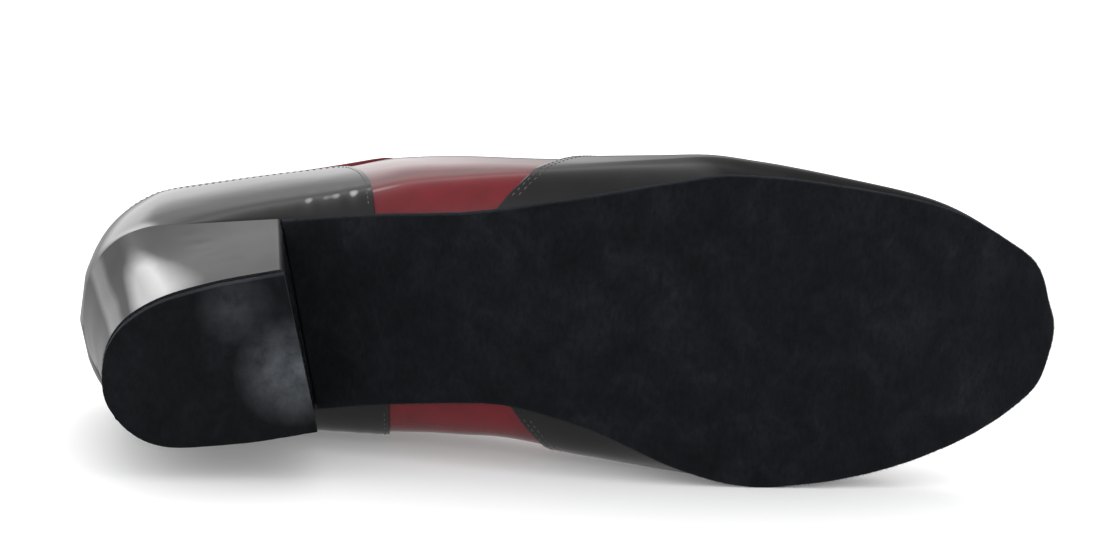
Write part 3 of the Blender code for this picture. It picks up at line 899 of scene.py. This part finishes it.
def ring_mesh(name, place, out, radius, thick):
    """A rolled ring lying on the leather."""
    sides, round_sides = 28, 10
    across = np.cross(out, (1.0, 0.0, 0.0))
    across /= np.linalg.norm(across)
    other = np.cross(out, across)
    points, faces = [], []
    for i in range(sides):
        a = math.tau * i / sides
        away = across * math.cos(a) + other * math.sin(a)
        here, after = i * round_sides, (i + 1) % sides * round_sides
        for j in range(round_sides):
            b = math.tau * j / round_sides
            rise = out * (thick * 0.7 * math.sin(b))
            points.append(place + away * (radius + thick * math.cos(b)) + rise)
            k = (j + 1) % round_sides
            faces.append((here + j, after + j, after + k, here + k))
    return mesh_of(name, points, faces)


def lace_places():
    first = COLLAR_FRONT + LACE_TOP_INSET / SOLE_LENGTH
    last = THROAT_END - LACE_END_INSET / SOLE_LENGTH
    return [first + (last - first) * number / (LACE_BARS - 1) for number in range(LACE_BARS)]


def smoothed(points, count):
    """A smooth run through a few points."""
    points = np.asarray(points, float)
    run = lengths_along(points)
    return read_curve(run, points, np.gradient(points, run, axis=0), np.linspace(0, run[-1], count))


def make_laces(maker, finish, eyelet_finish):
    """Bars across the throat, down through their eyelets at both ends, and the eyelets."""
    over = LACE_DIAMETER / 2 + 2 * GAP
    for number, along in enumerate(lace_places(), start=1):
        halves = []
        for side, label in ((OUTER, "outer"), (INNER, "inner")):
            eye = v_at_gap(along, side, half_gap(along) + EYELET_FROM_EDGE)
            rim = v_at_gap(along, side, half_gap(along))
            hole, out = lifted(along, side, eye, -QUARTER_DEPTH), skin_normal(along, side, eye)
            name = f"eyelet_{label}_{number}"
            maker.add(name, ring_mesh(name, hole + out * 0.0001, out, 0.0019, 0.00055), eyelet_finish)
            rise = lifted(along, side, rim, over)
            halves.append(
                [
                    hole - out * 0.0030,
                    hole - out * 0.0006,
                    hole * 0.80 + rise * 0.20 + out * 0.0013,
                    hole * 0.35 + rise * 0.65 + out * 0.0012,
                    rise,
                ]
            )
        middle = [halves[0][-1] * (1 - t) + halves[1][-1] * t for t in (0.25, 0.5, 0.75)]
        route = smoothed(halves[0] + middle + halves[1][::-1], 60)
        cord = tube_curve(f"lace_bar_{number}", route, LACE_DIAMETER / 2)
        maker.add(f"lace_bar_{number}", cord, finish, "lace", [f"lace_{number}"])


def make_tongue(maker, finish):
    """The tongue under the facings."""
    rise = TONGUE_RISE / SOLE_LENGTH
    places = np.linspace(COLLAR_FRONT - rise, THROAT_END + rise, 60)
    depth = UPPER_WALL + TONGUE_FIT
    into = np.clip((places - places[0]) * SOLE_LENGTH / 0.009, 0.0, 1.0)
    half_width = TONGUE_HALF_WIDTH * (0.55 + 0.45 * np.sqrt(1 - (1 - into) ** 2))
    grids = []
    for side in SIDES:
        wide = v_at_gap(places, side, half_width)
        rows = [lifted(places, side, wide + (1 - wide) * share, -depth) for share in np.linspace(0, 1, 16)]
        grids.append(np.stack(rows))
    grids[0][-1] = grids[1][-1] = (grids[0][-1] + grids[1][-1]) / 2
    maker.sheet("tongue_leather", grids, finish, TONGUE_WALL, 0.0005, UP, "tongue_leather", ["tongue"])


def make_insole(maker, finish):
    """The sock on the insole board."""
    places = places_between(0.0, 1.0, 110)
    inset = EDGE_MARGIN * MARGIN(places) + (UPPER_WALL + 0.15 * INSOLE_FIT)
    ends = []
    for side in SIDES:
        foot = edge_point(places, side)
        away = foot - spine_point(places)
        ends.append(foot - away / np.linalg.norm(away, axis=-1, keepdims=True) * inset[:, None])
    rows = []
    for share in np.linspace(0, 1, 25):
        place = ends[0] * (1 - share) + ends[1] * share
        z = seat(place[:, 0] / SOLE_LENGTH) + GAP
        rows.append(np.concatenate([place, z[:, None]], -1))
    wall, grids = INSOLE_THICKNESS, [np.stack(rows)]
    maker.sheet("insole_sock", grids, finish, wall, 0.0004, DOWN, "lining", ["insole"])


def ragged(x, y, seed, size):
    """How far a cut suede edge wanders at a place, in metres."""
    slow = noise.noise(Vector((x * 160, y * 160, seed)))
    fast = noise.noise(Vector((x * 600, y * 600, seed + 5.0)))
    return size * (0.6 * slow + 0.4 * fast)


def breast_x(share):
    """The heel's front, which slants forward from the outer side (share 0) to the inner (1)."""
    return BREAST + BREAST_SLANT * share


def sole_border(count, across):
    """Places round the sole's cut edge, and for each the place on its middle line that it faces."""
    first, fade_end = BREAST / SOLE_LENGTH, 0.38
    places = places_between(first, 1.0, count)
    sides = []
    for side in SIDES:
        fade = np.maximum(0.0, (fade_end - places) / (fade_end - first))
        shift = (breast_x(side) + 0.1 * GAP - BREAST) * fade
        run = edge_point(np.minimum(places + shift / SOLE_LENGTH, 1.0), side)
        away = run - np.array([SOLE_LENGTH / 2, 0.0])
        away /= np.linalg.norm(away, axis=-1, keepdims=True)
        wander = np.array([ragged(x, y, side, 0.00026) for x, y in run])
        wander[:3] = 0.0
        sides.append(run + away * wander[:, None])
    sides[INNER][-1] = sides[OUTER][-1]
    middle = np.stack([np.clip(places, first + 0.06, 0.88) * SOLE_LENGTH, np.zeros(count)], -1)
    middle[:, 1] = (edge(middle[:, 0] / SOLE_LENGTH, OUTER) + edge(middle[:, 0] / SOLE_LENGTH, INNER)) / 2
    share = np.linspace(1, 0, across)[1:-1, None]
    back = sides[INNER][:1] * share + sides[OUTER][:1] * (1 - share)
    border = np.concatenate([sides[OUTER], sides[INNER][-2::-1], back])
    facing = np.concatenate([middle, middle[-2::-1], np.repeat(middle[:1], len(back), axis=0)])
    return border, facing


def make_outsole(maker, finish):
    """The suede sole, its cut edge a little ragged and softly rounded."""
    rim = 0.0006
    border, facing = sole_border(240, 24)
    way = (facing - border) / np.linalg.norm(facing - border, axis=-1, keepdims=True)
    rings = []

    def ring(place, lift):
        along = place[:, 0] / SOLE_LENGTH
        low, high = tread(along), seat(along)
        z = low + lift if lift >= 0 else high + lift
        rings.append(np.concatenate([place, z[:, None]], -1))

    for share in np.linspace(1.0, 0.0, 26):
        ring((border + way * rim) * (1 - share) + facing * share, 0.0)
    ring(border + way * rim * 0.3, rim * 0.3)
    ring(border, rim)
    ring(border, -rim)
    ring(border + way * rim * 0.3, -rim * 0.3)
    for share in np.linspace(0.0, 1.0, 6):
        ring((border + way * rim) * (1 - share) + facing * share, -1e-9)
    size = len(border)
    mesh = mesh_of("suede_outsole", np.concatenate(rings), ring_faces(len(rings), len(border)), 60.0)
    maker.add("suede_outsole", mesh, finish, "outsole_suede", ["outsole"])


def tip_point(turn, side):
    """A place on the outline of the heel's foot, seen from above, from the back (0) to the breast (1)."""
    reach = TIP_LENGTH + BREAST_SLANT * side
    x = TIP_BACK + (1 - math.cos(turn * math.pi / 2)) * reach
    return np.array([x, TIP_WIDTH * float(TIP[side](turn))])


def heel_pair(turn, t):
    """The heel's two sides at a turn from the back, t from its seat (0) to its foot (1)."""
    foot = TOP_PIECE_THICKNESS + 0.1 * GAP
    mix = t + HEEL_HOLLOW * t * (1 - t)
    pair = []
    for side in SIDES:
        run = (1 - math.cos(turn * math.pi / 2)) * breast_x(side)
        along = run / SOLE_LENGTH
        high = np.array([run, float(edge(along, side)), float(seat(along))])
        low = np.array([*tip_point(turn, side), foot])
        point = high * (1 - mix) + low * mix
        point[2] = high[2] + (low[2] - high[2]) * t
        pair.append(point)
    return pair


def heel_wave(point, t):
    """Soft unevenness of the leather over the heel, with one slanting tuck on its sides."""
    slow = noise.noise(Vector((point[0] * 60, point[2] * 60, 3.0 + np.sign(point[1]))))
    line = point[0] - 0.030 - 0.020 * t
    tuck = -0.00016 * math.exp(-((line / 0.0009) ** 2)) if abs(point[1]) > 0.012 else 0.0
    return 0.00022 * slow * math.sin(math.pi * t) + tuck * math.sin(math.pi * min(t * 1.2, 1.0))


def turned_corner(run, ahead, radius=0.0018):
    """A run whose last corner is rounded towards the next place."""
    corner = run[-1]
    back = (run[-2] - corner) / np.linalg.norm(run[-2] - corner) * radius
    on = (ahead - corner) / np.linalg.norm(ahead - corner) * radius
    arc = [corner + back * (1 - t) ** 2 + on * t * t for t in (0.0, 0.2, 0.4, 0.6, 0.8, 1.0)]
    return run[:-1] + arc


def make_heel(maker, finish):
    """The wooden Cuban heel in its patent cover."""
    turns, levels = 30, 36
    points = []
    for k in range(levels + 1):
        t = k / levels
        outer, inner = [], []
        for i in range(turns + 1):
            for point, run in zip(heel_pair(i / turns, t), (outer, inner)):
                middle = np.array([HEEL_MIDDLE, 0.0, point[2]])
                away = (point - middle) / np.linalg.norm(point - middle)
                run.append(point + away * (0.0 if i == turns else heel_wave(point, t)))
        inner[0] = outer[0]
        ends = outer[-1], inner[-1]
        outer, inner = turned_corner(outer, ends[1]), turned_corner(inner, ends[0])
        front = [outer[-1] * (1 - s) + inner[-1] * s for s in (0.15, 0.32, 0.5, 0.68, 0.85)]
        loop = outer[::-1] + inner[1:] + front[::-1]
        points += loop
    size, half = len(loop), len(outer) - 1
    faces = ring_faces(levels + 1, size)
    for start, order in ((0, 1), (levels * size, -1)):
        ring = [start + i for i in range(size)]
        pairs = [(ring[half - i], ring[half + i]) for i in range(1, half + 1)]
        strip = [(ring[half], pairs[0][0], pairs[0][1])]
        strip += [(a[0], b[0], b[1], a[1]) for a, b in zip(pairs, pairs[1:])]
        strip.append((pairs[-1][0], *(ring[size - 1 - i] for i in range(5)), pairs[-1][1]))
        faces += [face[::order] for face in strip]
    mesh = mesh_of("heel_cover", points, faces, 40.0)
    maker.add("heel_cover", mesh, finish, "heel_cover", ["heel_block"])


def make_top_piece(maker, finish):
    """The suede piece under the heel."""
    turns, rows = 50, 22
    shares = (np.sin(np.linspace(-math.pi / 2, math.pi / 2, rows)) / 2 + 0.5)[:, None]
    grid = np.zeros((rows, turns + 1, 3))
    for j in range(turns + 1):
        outer, inner = (tip_point(j / turns, side) for side in SIDES)
        grid[:, j, :2] = outer * (1 - shares) + inner * shares
    for i, side in ((0, -1.0), (rows - 1, 1.0)):
        for j in range(turns + 1):
            x, y = grid[i, j, :2]
            away = np.array([x - HEEL_REST_X, y])
            away /= np.linalg.norm(away)
            grid[i, j, :2] += away * ragged(x, y, side + 9.0, 0.00020)
    grid[:, 0] = grid[0, 0].copy()
    wall, nodes = TOP_PIECE_THICKNESS, ["heel_top_piece"]
    maker.sheet("suede_top_piece", [grid], finish, wall, 0.0005, DOWN, "top_piece_suede", nodes)


FIBRE_ANGLES = (0.0, math.tau / 3, 2 * math.tau / 3)
FIBRE_FACES = ((0, 1, 3), (1, 2, 3), (2, 0, 3), (2, 1, 0))


def fibre(root, way, long, thick):
    """One fibre: a thin three-sided spike."""
    side = np.cross(way, (0.3, 0.5, 0.8))
    side /= np.linalg.norm(side)
    up = np.cross(way, side)
    ring = [root + (side * math.cos(a) + up * math.sin(a)) * thick for a in FIBRE_ANGLES]
    return ring + [root + way * long]


def make_fuzz(maker, name, outline, count, finish, seed):
    """Loose fibres along a cut suede edge. outline(share) gives a place on it and the way out of it."""
    chance = random.Random(seed)
    points, faces = [], []
    for _ in range(count):
        share = chance.random()
        long = chance.uniform(0.0002, 0.0009)
        place, out = outline(share)
        place = place + np.array([0.0, 0.0, chance.uniform(0.0001, 0.0018)]) - out * 0.0002
        way = out + np.array([chance.uniform(-0.8, 0.8) for _ in range(3)]) * 0.7
        way[2] -= 0.25
        way /= np.linalg.norm(way)
        start = len(points)
        points += fibre(place, way, long, chance.uniform(0.00003, 0.00006))
        faces += [tuple(start + index for index in face) for face in FIBRE_FACES]
    maker.add(name, raw_mesh(name, points, faces), finish)


def way_out(point_at, here, step, side):
    """The way out of an outline at a place on it. point_at gives its points."""
    run = point_at(min(here + step, 1.0), side) - point_at(max(here - step, 0.0), side)
    run /= np.linalg.norm(run)
    return np.array([run[1], -run[0], 0.0]) if side == OUTER else np.array([-run[1], run[0], 0.0])


def sole_outline(share):
    """A place on the sole's edge, from the breast's outer end round the toe to its inner end."""
    side = OUTER if share < 0.5 else INNER
    part = share * 2 if share < 0.5 else 2 - share * 2
    first = float(turn_of(0.225))
    along = (1 - math.cos(first + (math.pi - first) * part)) / 2
    place = np.array([*edge_point(along, side), float(tread(along))])
    return place, way_out(edge_point, along, 0.002, side)


def tip_outline(share):
    """A place on the top piece's edge, from the breast's outer end round the back to its inner end."""
    side = OUTER if share < 0.5 else INNER
    turn = abs(1 - share * 2)
    return np.array([*tip_point(turn, side), 0.0]), way_out(tip_point, turn, 0.01, side)


# The photograph's camera, in the shoe's frame
CAMERA_TILT = 18.0
CAMERA_YAW = 6.0
CAMERA_ROLL = 3.0
CAMERA_DISTANCE = 0.735
CAMERA_TARGET = (0.1333, -0.0140, 0.0100)
FOCAL_PIXELS = 2600.0
IMAGE_WIDTH = 1100.0
SENSOR_WIDTH = 36.0


def make_camera(matrix):
    """A camera that looks at the sole from the photograph's side, rolled as it was."""
    tilt, yaw, roll = (math.radians(a) for a in (CAMERA_TILT, CAMERA_YAW, CAMERA_ROLL))
    look = Vector((math.sin(yaw) * math.cos(tilt), math.sin(tilt), math.cos(yaw) * math.cos(tilt)))
    level = look.cross(Vector((0, -1, 0))).normalized()
    rise = level.cross(look)
    right = level * math.cos(roll) - rise * math.sin(roll)
    up = level * math.sin(roll) + rise * math.cos(roll)
    place = Vector(CAMERA_TARGET) - look * CAMERA_DISTANCE
    turn = Matrix((right, up, -look)).transposed().to_4x4()
    data = bpy.data.cameras.new("camera")
    data.sensor_width = SENSOR_WIDTH
    data.lens = SENSOR_WIDTH * FOCAL_PIXELS / IMAGE_WIDTH
    data.clip_start = 0.01
    camera = placed("camera", data)
    camera.matrix_world = matrix @ Matrix.Translation(place) @ turn
    bpy.context.scene.camera = camera


def make_floor():
    """A white floor that the patent doesn't mirror."""
    made, tree, shader = shader_of("studio_floor", (0.92, 0.92, 0.92), 0.9)
    stops = ((0.3, (0.915, 0.915, 0.92)), (0.7, (0.925, 0.925, 0.925)))
    inputs = {"Emission Color": (1.0, 1.0, 1.0, 1.0), "Emission Strength": 0.15}
    inputs["Base Color"] = ramp_of(tree, noise_of(tree, 0.3, 2.0), stops)
    filled(tree, shader, inputs)
    half = 12.0
    corners = [(-half, -half, 0), (half, -half, 0), (half, half, 0), (-half, half, 0)]
    mesh = raw_mesh("floor", corners, [(0, 1, 2, 3)])
    mesh.materials.append(made)
    floor = placed("floor", mesh)
    floor.location = (0, 6.0, 0)
    floor.visible_glossy = False


# What the patent mirrors. Columns: height (the sine of the angle over the floor), brightness
SKY = (
    (-1.00, 0.30),
    (-0.05, 0.36),
    (0.04, 0.95),
    (0.20, 1.00),
    (0.29, 0.44),
    (0.55, 0.50),
    (0.70, 0.90),
    (0.85, 0.60),
    (1.00, 0.45),
)

# How much of it is left towards the shoe's toe. Columns: across (share of the dome's radius), share
SKY_ACROSS = ((-1.0, 1.0), (0.02, 1.0), (0.14, 0.35), (0.30, 0.15), (1.0, 0.10))

# The soft light beside the heel: the way to it, how wide it is and how bright
LAMP_WAY = (-0.47, 0.67, 0.58)
LAMP_CORE = 0.10
LAMP_REACH = 0.24
LAMP_BRIGHTNESS = 5.0


def mirrored_studio(radius=8.0):
    """A dome that only shows in reflections: a grey floor, a pale band over it and one soft light."""
    mesh = bpy.data.meshes.new("mirrored_studio")
    shape = bmesh.new()
    bmesh.ops.create_uvsphere(shape, u_segments=64, v_segments=32, radius=radius)
    shape.to_mesh(mesh)
    shape.free()
    made = bpy.data.materials.new("studio_surroundings")
    made.use_nodes = True
    tree = made.node_tree
    tree.nodes.clear()
    parts = node_of(tree, "SeparateXYZ", {"Vector": place_of(tree)}).outputs
    height, across = (range_of(tree, parts[name], 0.0, 1.0, -radius, radius) for name in ("Z", "X"))
    brightest = max(row[1] for row in SKY)
    shades = ramp_of(tree, height, [((row[0] + 1) / 2, (row[1] / brightest,) * 3) for row in SKY])
    left = ramp_of(tree, across, [((row[0] + 1) / 2, (row[1],) * 3) for row in SKY_ACROSS])
    far = distance_of(tree, Vector(LAMP_WAY).normalized() * radius)
    lamp = range_of(tree, far, LAMP_BRIGHTNESS, 0.0, LAMP_CORE * radius, LAMP_REACH * radius)
    total = node_of(tree, "Math", {0: lamp, 1: brightest}, operation="ADD").outputs["Value"]
    inputs = {"Strength": total, "Color": mixed(tree, 1.0, shades, left, "MULTIPLY")}
    node_of(tree, "OutputMaterial", {"Surface": node_of(tree, "Emission", inputs).outputs["Emission"]})
    mesh.materials.append(made)
    dome = placed("mirrored_studio", mesh)
    dome.visible_camera = False
    dome.visible_diffuse = False
    dome.visible_shadow = False
    dome.visible_transmission = False


def area_light(name, place, size, power):
    """A soft light that looks at the shoe and isn't seen or mirrored."""
    data = bpy.data.lights.new(name, "AREA")
    data.shape = "RECTANGLE"
    data.size, data.size_y = size
    data.energy = power
    light = placed(name, data)
    light.location = place
    light.rotation_mode = "QUATERNION"
    light.rotation_quaternion = (Vector((0.0, 0.0, 0.05)) - Vector(place)).to_track_quat("-Z", "Y")
    light.visible_camera = False
    light.visible_glossy = False


def make_studio():
    """A white floor and surroundings, soft lights, and the studio that the patent mirrors."""
    make_floor()
    world = bpy.data.worlds.new("studio")
    bpy.context.scene.world = world
    world.use_nodes = True
    back = world.node_tree.nodes["Background"]
    filled(world.node_tree, back, {"Color": (1.0, 1.0, 1.0, 1.0), "Strength": 1.2})
    mirrored_studio()
    area_light("back_soft_box", (-0.10, 1.55, 1.30), (1.6, 0.55), 14.0)
    area_light("top_light", (0.3, 0.4, 1.8), (1.2, 1.2), 6.0)
    area_light("front_fill", (0.2, -1.6, 0.9), (1.8, 1.0), 3.0)
    scene = bpy.context.scene
    scene.view_settings.view_transform = "Standard"
    scene.view_settings.look = "None"
    scene.view_settings.exposure = 0.0


# Worn spots of the heel's suede, in the shoe's own frame. Columns: spot, radius, strength
SCUFFS = (((0.059, 0.002, 0.0), 0.017, 0.9), ((0.045, -0.018, 0.0), 0.012, 0.35))


def main():
    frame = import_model()
    matrix = shoe_frame(frame["record"])
    maker = Maker(matrix)
    make_camera(matrix)
    make_studio()

    black = patent("black_patent", (0.0045, 0.0045, 0.0050), (0.0075, 0.0075, 0.0082), gloss=1.42)
    burgundy = patent("burgundy_patent", (0.105, 0.0020, 0.0055), (0.145, 0.0035, 0.0090), 0.00008)
    # The heel is the same gloss black patent as the upper. Its tones are lighter and greyer so that the
    # heel reads greyer: painted sheen, standing in for the light that its sides mirror. Its higher coat
    # gloss is real reflection.
    heel_painted_sheen_tones = (0.022, 0.0215, 0.023), (0.034, 0.033, 0.036)
    heel_patent_painted_sheen = patent("black_patent_heel", *heel_painted_sheen_tones, 0.00014, gloss=1.8)
    sole_tones = (0.0012, 0.0016, 0.0024), (0.0027, 0.0034, 0.0046), (0.0066, 0.0078, 0.0098)
    sole_suede = suede("black_suede", *sole_tones)
    tip_tones = (0.0009, 0.0014, 0.0020), (0.0019, 0.0026, 0.0035), (0.0042, 0.0052, 0.0066)
    scuffs = [(matrix @ Vector(spot), radius, strength) for spot, radius, strength in SCUFFS]
    tip_suede = suede("black_suede_tip", *tip_tones, scuffs)
    fuzz = suede("suede_fibres", (0.006, 0.007, 0.009), (0.010, 0.012, 0.015), (0.018, 0.021, 0.025))
    tan = leather("lining_leather", (0.34, 0.22, 0.13), (0.46, 0.32, 0.20), 0.62)
    tongue = leather("tongue_black", (0.010, 0.010, 0.011), (0.018, 0.018, 0.019), 0.42)
    lace = woven("lace_cotton", (0.020, 0.020, 0.022))
    light_thread = thread("pale_thread", (0.10, 0.09, 0.08))
    dark_thread = thread("dark_thread", (0.060, 0.012, 0.016))
    blackened = metal("black_eyelet", (0.06, 0.06, 0.065), 0.25)

    make_quarters(maker, burgundy)
    make_lining(maker, tan)
    make_vamp(maker, black)
    make_counter(maker, black)
    make_binding(maker, burgundy)
    vamp_routes = [vamp_rows(side, inset) for side in SIDES for inset in (FIRST_ROW, SECOND_ROW)]
    make_stitching(maker, "vamp_stitching", vamp_routes, light_thread)
    counter_routes = [counter_rows(side, FIRST_ROW) for side in SIDES]
    make_stitching(maker, "counter_stitching", counter_routes, light_thread)
    topline_routes = [topline_rows(side, SECOND_ROW) for side in SIDES]
    make_stitching(maker, "topline_stitching", topline_routes, dark_thread)
    make_laces(maker, lace, blackened)
    make_tongue(maker, tongue)
    make_insole(maker, tan)
    make_outsole(maker, sole_suede)
    make_heel(maker, heel_patent_painted_sheen)
    make_top_piece(maker, tip_suede)
    make_fuzz(maker, "sole_edge_fibres", sole_outline, 9000, fuzz, 11)
    make_fuzz(maker, "tip_edge_fibres", tip_outline, 2500, fuzz, 12)


main()
